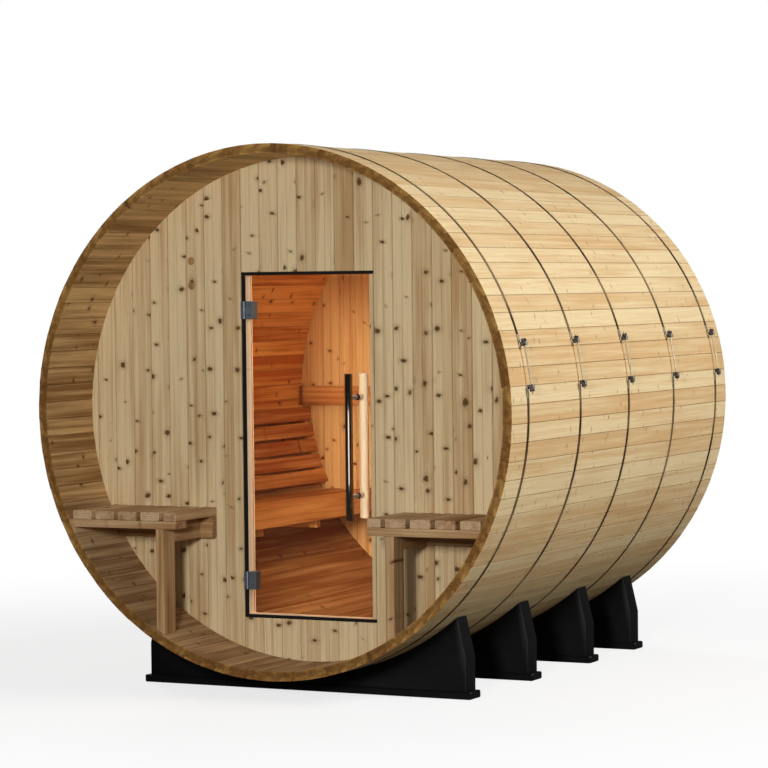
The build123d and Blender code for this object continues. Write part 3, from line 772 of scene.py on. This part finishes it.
def within_barrel(rings, radius=INNER - GAP):
    """Points beyond the barrel's inside are drawn in level with the ground until they touch it."""
    limit = np.sqrt(np.maximum(radius**2 - (rings[..., 2] - AXIS) ** 2, 0))
    rings[..., 0] = np.clip(rings[..., 0], -limit, limit)
    return rings


def stood_in_barrel(rings, radius=INNER - GAP):
    """Points below the barrel's inside are raised straight up until they touch it."""
    rings[..., 2] = np.maximum(rings[..., 2], AXIS - np.sqrt(radius**2 - rings[..., 0] ** 2))
    return rings


def mirrored(low, high, side):
    """The two corners of a box on the right, moved to the left where side is -1."""
    low, high = np.atleast_2d(low).astype(float), np.atleast_2d(high).astype(float)
    x = np.sort(np.stack([low[:, 0] * side, high[:, 0] * side]), axis=0)
    low[:, 0], high[:, 0] = x
    return low, high


def boarded(name, finishes, *groups, tan=0.0):
    """One mesh from several sets of boards, each given as rings with their places in the log. tan
    is the least that any of them is darkened."""
    made = []
    for n, (rings, local) in enumerate(groups):
        tones = tan + (1 - tan) * chance.beta(1.3, 1.6, len(rings))
        ends = len(finishes) - 1
        made.append(lofted(f"{name}_{n}", rings, finishes, local, tones, ends=ends))
    return merged(name, made)


bench_finishes = [bench_board, bench_end]
slat_starts = np.concatenate([[BENCH_INNER], 0.5115 + np.arange(4) * 0.1075])
slat_widths = np.array([0.059, 0.088, 0.088, 0.088, 0.088])
for side_name, side, post_x in (("left", -1, 0.490), ("right", 1, 0.512)):
    low = [(x, BENCH_FRONT, SLAT_LOW) for x in slat_starts]
    high = [(x + w, BENCH_BACK, SEAT_TOP) for x, w in zip(slat_starts, slat_widths)]
    rings, local = sawn(*mirrored(low, high, side), 1, 0.003)
    seat = boarded(f"porch_slats_{side_name}", bench_finishes, (within_barrel(rings), local))
    fitted(seat, "sauna", "bench_wood", f"porch_seat_{side_name}")

    rail_top = SLAT_LOW - GAP
    rail_low, ledger_low = rail_top - 0.032, rail_top - PLANK_WIDE
    rail_back = BENCH_FRONT + PLANK_WIDE
    ledger_front = FRONT_WALL - PLANK - GAP
    post_end = post_x + PLANK
    low, high = (BENCH_INNER, BENCH_FRONT, rail_low), (INNER, rail_back, rail_top)
    rail, rail_local = sawn(*mirrored(low, high, side), 0, 0.002)
    low, high = (BENCH_INNER, ledger_front, ledger_low), (INNER, BENCH_BACK, rail_top)
    ledger, ledger_local = sawn(*mirrored(low, high, side), 0, 0.002)
    low, high = (post_x, BENCH_FRONT, 0.2), (post_end, rail_back, rail_low - GAP)
    post, post_local = sawn(*mirrored(low, high, side), 2, 0.002)
    low, high = (post_x, rail_back + GAP, ledger_low), (post_end, ledger_front - GAP, rail_top)
    stringer, stringer_local = sawn(*mirrored(low, high, side), 1, 0.002)
    stand = boarded(
        f"porch_bench_stand_{side_name}",
        bench_finishes,
        (within_barrel(rail), rail_local),
        (within_barrel(ledger), ledger_local),
        (stood_in_barrel(post), post_local),
        (stringer, stringer_local),
        tan=0.8,
    )
    fitted(stand, "sauna", "bench_wood", f"porch_bench_frame_{side_name}")


# Bench and backrest inside. Three boards behind a fascia rest on four bearers cut to the barrel,
# and above them five thin slats cross curved ribs on the left staves. A rail crosses the rear
# wall from stave to stave.
CABIN_LOW = CABIN_FRONT + GAP
CABIN_HIGH = REAR_WALL - GAP
cabin_board = wood("cabin_board", (222, 156, 84), (160, 84, 30), (100, 46, 18), 0.5, 0.011, 0.5)


def inside_boards(name, node, *groups, tan=0.0):
    """Boards of the cabin's own wood that stand for one node."""
    fitted(boarded(name, [cabin_board], *groups, tan=tan), "sauna", "cabin_wood", node)


slat_right = -0.5933 - 0.012 - np.arange(3) * 0.101
low = [(x - PLANK_WIDE, CABIN_LOW, 0.640) for x in slat_right]
high = [(x, CABIN_HIGH, 0.678) for x in slat_right]
rings, local = sawn(low, high, 1, 0.002)
inside_boards("cabin_bench_boards", "sauna_bench_seat", (within_barrel(rings), local))
fascia = sawn((-0.593, CABIN_LOW, 0.589), (-0.555, CABIN_HIGH, 0.678), 1, 0.002)
inside_boards("cabin_bench_fascia", "sauna_bench_fascia", fascia)
bearer_fronts = FRONT + 0.480 + np.arange(4) * 0.530
low = [(-INNER, y, 0.5507) for y in bearer_fronts]
high = [(-0.5933, y + PLANK, 0.6397) for y in bearer_fronts]
rings, local = sawn(low, high, 0, 0.002)
inside_boards("cabin_bench_bearers", "sauna_bench_bearers", (within_barrel(rings), local))
low, high = (-INNER, REAR_WALL - PLANK - GAP, 1.077), (INNER, CABIN_HIGH, 1.166)
rings, local = sawn(low, high, 0, 0.002)
inside_boards("rear_rail_board", "rear_wall_rail", (within_barrel(rings), local))

RIB_INNER = INNER - GAP - PLANK
SLAT_BACK = sqrt((RIB_INNER - GAP) ** 2 - 0.032**2)
slat_angles = np.radians(180 + 6.15 + 4.47 * np.arange(5))
low = np.tile((SLAT_BACK - 0.018, FRONT + 0.414, -0.032), (5, 1))
high = np.tile((SLAT_BACK, FRONT + 2.204, 0.032), (5, 1))
rings, local = sawn(low, high, 1, 0.002)
out, up = rings[..., 0].copy(), rings[..., 2].copy()
turn = slat_angles[:, None, None]
rings[..., 0] = out * np.cos(turn) - up * np.sin(turn)
rings[..., 2] = AXIS + out * np.sin(turn) + up * np.cos(turn)
# The slats face down, and their tones lean to tan: painted shade.
inside_boards("backrest_slat_boards", "backrest_slats", (rings, local), tan=0.5)

rib_turn = np.radians(180 + np.linspace(4.30, 25.88, 13))
rib_fronts = FRONT + 0.414 + np.arange(4) * 0.584
ease, far = 0.0015, PLANK - 0.0015
corner_out = np.array([0, 0, ease, far, PLANK, PLANK, far, ease]) + RIB_INNER
corner_along = np.array([ease, far, PLANK, PLANK, far, ease, 0, 0])
rings = np.zeros((4, 13, 8, 3))
rings[..., 0] = corner_out * np.cos(rib_turn)[:, None]
rings[..., 1] = rib_fronts[:, None, None] + corner_along
rings[..., 2] = AXIS + corner_out * np.sin(rib_turn)[:, None]
local = np.zeros_like(rings)
local[..., 0] = rib_turn[:, None] + np.arange(4)[:, None, None] * 3
local[..., 1] = corner_along
local[..., 2] = corner_out - RIB_INNER + 0.03
inside_boards("backrest_rib_boards", "backrest_ribs", (rings, local))


# Straps. Five hoops of galvanised steel band run round the barrel. Each is open on the right,
# where its two ends are folded into the brackets of a tensioner.
HOOP = OUTER / cos(STEP / 2) + GAP
STRAP_THICK = 0.002
STRAP_WIDE = 0.016
STRAP_PLACES = FRONT + 0.155 + np.arange(5) * 0.5165
TENSION_ANGLE = radians(10)
TENSION_HALF = radians(4.5)
band = Finish("galvanised_band")
spot = band.spot()
spangle = band.node("TexVoronoi", {"feature": "F1"}, {"Vector": spot, "Scale": 260.0}, out="Color")
spangle = band.node("SeparateColor", {}, {"Color": spangle})
stain = (0.75 + (band.noise(spot, (4, 7, 4), detail=5.0) - 0.5) * 4).clamped()
band_steel = band.surface(
    {
        "Base Color": band.mix(stain, shade(150, 128, 96), shade(66, 46, 18)),
        "Metallic": 0.4,
        "Specular IOR Level": 0.3,
        "Roughness": 0.4 + spangle * 0.12 + stain * 0.1,
    },
    spangle,
    0.1,
    0.0003,
)
turn = np.linspace(TENSION_ANGLE + TENSION_HALF, TENSION_ANGLE - TENSION_HALF + 2 * pi, 277)
edge = 0.0004
thick, wide = STRAP_THICK - edge, STRAP_WIDE - edge
band_out = HOOP + np.array([0, 0, edge, thick, STRAP_THICK, STRAP_THICK, thick, edge])
band_along = np.array([edge, wide, STRAP_WIDE, STRAP_WIDE, wide, edge, 0, 0]) - STRAP_WIDE / 2
rings = np.zeros((5, len(turn), 8, 3))
rings[..., 0] = band_out * np.cos(turn)[:, None]
rings[..., 1] = STRAP_PLACES[:, None, None] + band_along
rings[..., 2] = AXIS + band_out * np.sin(turn)[:, None]
fitted(lofted("strap_bands", rings, [band_steel]), "sauna", "strap_steel", "straps")


# Tensioners. On each strap two brackets face each other, and a threaded rod with a nut at each
# end draws them together. Their blocks and nuts are black, and the feet, the folded ends of the
# straps and the rods are zinc plated.
BRACKET_HALF = 0.011
out = np.array([cos(TENSION_ANGLE), 0, sin(TENSION_ANGLE)])
up = np.array([-sin(TENSION_ANGLE), 0, cos(TENSION_ANGLE)])
strap_outer = HOOP + STRAP_THICK
tension_half = strap_outer * sin(TENSION_HALF)
bracket_start = tension_half - 0.008
bracket_foot = sqrt(strap_outer**2 - bracket_start**2) + GAP
rod_out = bracket_foot + 0.017
rod_half = tension_half + 0.008 + 0.020
black_iron = Finish("blackened_iron")
spot = black_iron.spot()
# The lighter patches on the black are worn scale and painted silver highlights.
scale_and_sheen = ((black_iron.noise(spot, (90, 90, 90), detail=3.0) - 0.35) * 3).clamped()
bracket_black = black_iron.surface(
    {
        "Base Color": black_iron.mix(scale_and_sheen, shade(24, 22, 22), shade(96, 88, 90)),
        "Metallic": 0.6,
        "Roughness": 0.3 + scale_and_sheen * 0.2,
    },
    scale_and_sheen,
    0.3,
    0.0003,
)
zinc = brushed("zinc_plate", shade(240, 230, 204), 0.45)


def on_tensioner(rings):
    """Rings drawn as (out, along the barrel, up the rod) are turned into place on every strap."""
    placed = rings[..., :1] * out + rings[..., 1:2] * (0, 1, 0) + rings[..., 2:] * up + (0, 0, AXIS)
    along = STRAP_PLACES[:, None, None, None, None] * (0, 1, 0)
    return (placed + along).reshape(-1, *rings.shape[1:])


groups = []
for flip in (-1, 1):
    low, high = sorted((flip * bracket_start, flip * (bracket_start + 0.016)))
    foot_top, block_top = bracket_foot + 0.003, bracket_foot + 0.0262
    block = ((foot_top, -BRACKET_HALF, low), (block_top, BRACKET_HALF, high))
    groups.append((on_tensioner(sawn(*block, 0, 0.0012)[0]), 0))
    foot = ((bracket_foot, -BRACKET_HALF, low), (foot_top, BRACKET_HALF, high))
    groups.append((on_tensioner(sawn(*foot, 2, 0.0005)[0]), 1))
    start, end = bracket_start - GAP, bracket_start + 0.016 + GAP
    lead = np.linspace(end + 0.032, end, 6)
    path_up = np.concatenate([lead, [end, end - 0.0008, start + 0.0008, start, start]]) * flip
    over = bracket_foot + np.array([0.0258, 0.0266, 0.0266, 0.0258, 0.012])
    path_out = np.concatenate([np.sqrt(strap_outer**2 - lead**2) + 0.0002, over])
    fold = np.array([0.0008] * 5 + [0.0012] * 5 + [0.0008])
    loop = np.zeros((1, 11, 4, 3))
    tangent_out, tangent_up = np.gradient(path_out), np.gradient(path_up)
    length = np.hypot(tangent_out, tangent_up)
    normal_out = np.abs(tangent_up) / length
    normal_up = -tangent_out * np.sign(tangent_up * flip + 1e-9) / length * flip
    thick = np.array([0, 0, 1, 1]) * fold[:, None]
    loop[0, ..., 0] = path_out[:, None] + normal_out[:, None] * thick
    loop[0, ..., 1] = np.array([-1, 1, 1, -1]) * STRAP_WIDE / 2
    loop[0, ..., 2] = path_up[:, None] - normal_up[:, None] * thick
    groups.append((on_tensioner(loop), 1))
brackets = joined("tensioner_bracket_blocks", [bracket_black, zinc], *groups)
fitted(brackets, "sauna", "strap_steel", "tensioner_brackets")

pitch = 0.002
along_rod = np.arange(-rod_half, rod_half + pitch / 4, pitch / 4)
turn = np.arange(12) * pi / 6
wave = np.abs(((along_rod[:, None] / pitch - turn / (2 * pi)) % 1) * 2 - 1)
rod_radius = 0.0033 + 0.0007 * wave
rod_radius[[0, -1]] = 0.0028
rod = np.zeros((1, len(along_rod), 12, 3))
rod[..., 0] = rod_out + rod_radius * np.cos(turn)
rod[..., 1] = rod_radius * np.sin(turn)
rod[..., 2] = along_rod[:, None]
groups = [(on_tensioner(rod), 0)]
nut_start = tension_half + 0.0083
for flip in (-1, 1):
    stations = np.array([0, 0.001, 0.010, 0.011]) * flip + nut_start * flip
    nut = turned((0, 0, 0), (0, 0, 1), stations, [0.0090, 0.010, 0.010, 0.0090], 6)
    nut[..., 0] += rod_out
    groups.append((on_tensioner(nut), 1))
rods = joined("tensioner_threaded_rods", [zinc, bracket_black], *groups)
fitted(rods, "sauna", "strap_steel", "tensioner_rods")


# Cradles. Four black plastic mouldings carry the barrel. Each is a front plate with a flange all
# round its edge and three ribs behind it, and a lip at the foot with screws in its front.
CRADLES = FRONT + np.array([0.297, 0.906, 1.524, 2.042])
BASE_HALF = 0.725
LIP_HALF = 0.747
plastic = Finish("black_moulded_plastic")
spot = plastic.spot()
pebble = plastic.noise(spot, (420, 420, 420), detail=2.0)
scuffs = plastic.noise(spot, (6, 6, 14), detail=5.0, rough=0.7)
worn = ((scuffs - 0.5) * 2.4).clamped()
cradle_black = plastic.surface(
    {
        "Base Color": plastic.mix(worn, shade(3, 3, 4), shade(10, 10, 12)),
        "Roughness": 0.38 + scuffs * 0.2,
        "Specular IOR Level": 0.2,
    },
    pebble,
    0.12,
    0.0003,
)
arc = np.linspace(0.688, -0.688, 61)
arch = np.stack([arc, AXIS - np.sqrt(HOOP**2 - arc**2)], -1)
base = [(-BASE_HALF, 0.0), (BASE_HALF, 0.0), (BASE_HALF, 0.165)]
outline = np.concatenate([base, arch, [(-BASE_HALF, 0.165)]])


def drawn_in(outline, distance):
    """The outline moved inwards by a distance: each corner goes along the line that halves it."""
    before, after = np.roll(outline, 1, axis=0), np.roll(outline, -1, axis=0)
    first, second = outline - before, after - outline
    first /= np.linalg.norm(first, axis=1)[:, None]
    second /= np.linalg.norm(second, axis=1)[:, None]
    first = np.stack([-first[:, 1], first[:, 0]], -1)
    second = np.stack([-second[:, 1], second[:, 0]], -1)
    middle = first + second
    middle /= np.linalg.norm(middle, axis=1)[:, None]
    return outline + middle * (distance / (middle * first).sum(1))[:, None]


insets = np.array([0.004, 0.0012, 0, 0, 0.0012, 0.0068, 0.008, 0.008, 0.010])
depths = np.array([0, 0.0012, 0.004, 0.0888, 0.090, 0.090, 0.0888, 0.010, 0.008])
shell = np.stack([drawn_in(outline, inset) for inset in insets])
for number, place in enumerate(CRADLES, start=1):
    rings = np.zeros((1, *shell.shape[:2], 3))
    rings[..., 0] = shell[..., 0]
    rings[..., 1] = place + depths[:, None]
    rings[..., 2] = shell[..., 1]
    ribs = []
    for x in (-0.240, 0.0, 0.240):
        low, high = (x - 0.004, place + 0.0085, 0.0085), (x + 0.004, place + 0.089, 0.3)
        rib, _ = sawn(low, high, 2, 0.001)
        ceiling = AXIS - np.sqrt((HOOP + 0.008) ** 2 - rib[..., 0] ** 2) - GAP
        rib[..., 2] = np.minimum(rib[..., 2], ceiling)
        ribs.append(rib)
    front, back, beside = place - 0.010, place + 0.090, BASE_HALF + GAP
    lip_low = [(-LIP_HALF, front, 0), (-LIP_HALF, place + GAP, 0), (beside, place + GAP, 0)]
    lip_high = [(LIP_HALF, place - GAP, 0.03), (-beside, back, 0.03), (LIP_HALF, back, 0.03)]
    lips, _ = sawn(lip_low, lip_high, 0, 0.004)
    screws = [(x, front, 0.016) for x in (-0.70, -0.45, -0.15, 0.15, 0.45, 0.60, 0.66, 0.70)]
    head_out, head_radii = [-0.003, -0.0012, -0.0004, 0], [0.0045, 0.0045, 0.0035, 0.0012]
    heads = turned(screws, (0, -1, 0), head_out, head_radii, 14)
    groups = [(rings, 0), (np.concatenate(ribs), 0), (lips, 0), (heads, 1)]
    cradle = joined(f"cradle_moulding_{number}", [cradle_black, zinc], *groups)
    fitted(cradle, "sauna", "cradle_plastic", f"cradle_{number}")


# Studio. A pale floor and a white surround, with large soft lamps above the right side, in front
# of the porch and behind, a warm one under the roof, and a low panel that only shiny things show.
def lamp(name, place, aim, size, power, tint=(1.0, 1.0, 1.0)):
    """Soft panel, its size given across and up, turned towards the point that it lights. It isn't
    seen itself."""
    light = bpy.data.lights.new(name, "AREA")
    light.shape = "RECTANGLE"
    light.size, light.size_y = size
    light.energy = power
    light.color = tint
    holder = bpy.data.objects.new(name, light)
    holder.location = place
    holder.rotation_euler = (Vector(aim) - Vector(place)).to_track_quat("-Z", "Y").to_euler()
    holder.visible_camera = False
    holder.visible_transmission = False
    bpy.context.scene.collection.objects.link(holder)
    return holder


lamp("side_lamp", (8.0, 0.2, 5.7), (0, 0, 1.1), (2.6, 2.6), 625)
lamp("porch_lamp", (2.6, -9.0, 2.4), (0, -0.9, 0.9), (1.0, 1.0), 425)
lamp("back_lamp", (-7.2, 6.4, 5.0), (0, 0.4, 1.1), (3.0, 3.0), 380)
lamp("cabin_lamp", (0.45, 0.1, 1.90), (-0.1, 0.4, 0.8), (0.4, 0.4), 7.2, (1.0, 0.80, 0.58))
mirror_panel = lamp("mirror_panel", (1.4, -4.69, 0.77), (0.2, -0.87, 0.77), (2.3, 0.4), 11)
mirror_panel.visible_diffuse = False

world = bpy.data.worlds.new("white_surround")
bpy.context.scene.world = world
world.use_nodes = True
world.node_tree.nodes.clear()


class Surround(Finish):
    """The world's nodes, wired in the same way as a finish."""

    def __init__(self, tree):
        self.tree = tree


def seen_rays(finish):
    """One for rays that come from the camera or through a pane, else nothing."""
    rays = finish.node("LightPath", {}, {})
    return (rays + rays.output("Is Transmission Ray")).clamped()


surround = Surround(world.node_tree)
strength = 0.15 + 0.85 * seen_rays(surround)
sky = surround.node("Background", {}, {"Color": (1, 1, 1, 1), "Strength": strength})
surround.wired(sky, "OutputWorld")

ground = Finish("pale_floor")
spot = ground.spot()
faint = ground.noise(spot, (2, 2, 2))
far = ground.node("VectorMath", {"operation": "LENGTH"}, {0: spot}, out="Value")
seen = seen_rays(ground)
white = ground.mix(faint, (0.92, 0.92, 0.92, 1), (0.95, 0.95, 0.95, 1))
paint = ground.node("BsdfDiffuse", {}, {"Color": ground.mix(seen, (0.14, 0.13, 0.11, 1), white)})
glow = ground.node("Emission", {}, {"Color": (1, 1, 1, 1), "Strength": 1.0})
share = 0.75 + 0.25 * ((far - 2.0) / 3.0).clamped()
ground.wired(ground.node("MixShader", {}, {0: seen * share, 1: paint, 2: glow}))
floor_mesh = bpy.data.meshes.new("studio_floor")
floor_corners = [(-60, -60, 0), (60, -60, 0), (60, 60, 0), (-60, 60, 0)]
floor_mesh.from_pydata(floor_corners, [], [(0, 1, 2, 3)])
floor_mesh.materials.append(ground.material)
floor = bpy.data.objects.new("studio_floor", floor_mesh)
bpy.context.scene.collection.objects.link(floor)

# Viewpoint. The camera stands where the photograph was taken, worked out from the barrel's
# outline, about 11.5 m in front and 5.7 m to the right of it.
yaw, pitch, roll = -0.4641, -0.0332, -0.0110
ahead = np.array([sin(yaw) * cos(pitch), cos(yaw) * cos(pitch), sin(pitch)])
level_right = np.array([cos(yaw), -sin(yaw), 0.0])
above = np.cross(level_right, ahead)
right = level_right * cos(roll) + above * sin(roll)
above = above * cos(roll) - level_right * sin(roll)
camera = bpy.data.objects.new("photo_camera", bpy.data.cameras.new("photo_camera"))
camera.data.sensor_width = 36
camera.data.lens = 36 * 2988.4 / 768
stand = (5.7163, -11.5499, 1.6440)
turned_to = [[right[k], above[k], -ahead[k], stand[k]] for k in range(3)]
camera.matrix_world = Matrix(turned_to + [[0, 0, 0, 1]])
bpy.context.scene.collection.objects.link(camera)
bpy.context.scene.camera = camera
bpy.context.scene.view_settings.view_transform = "Standard"
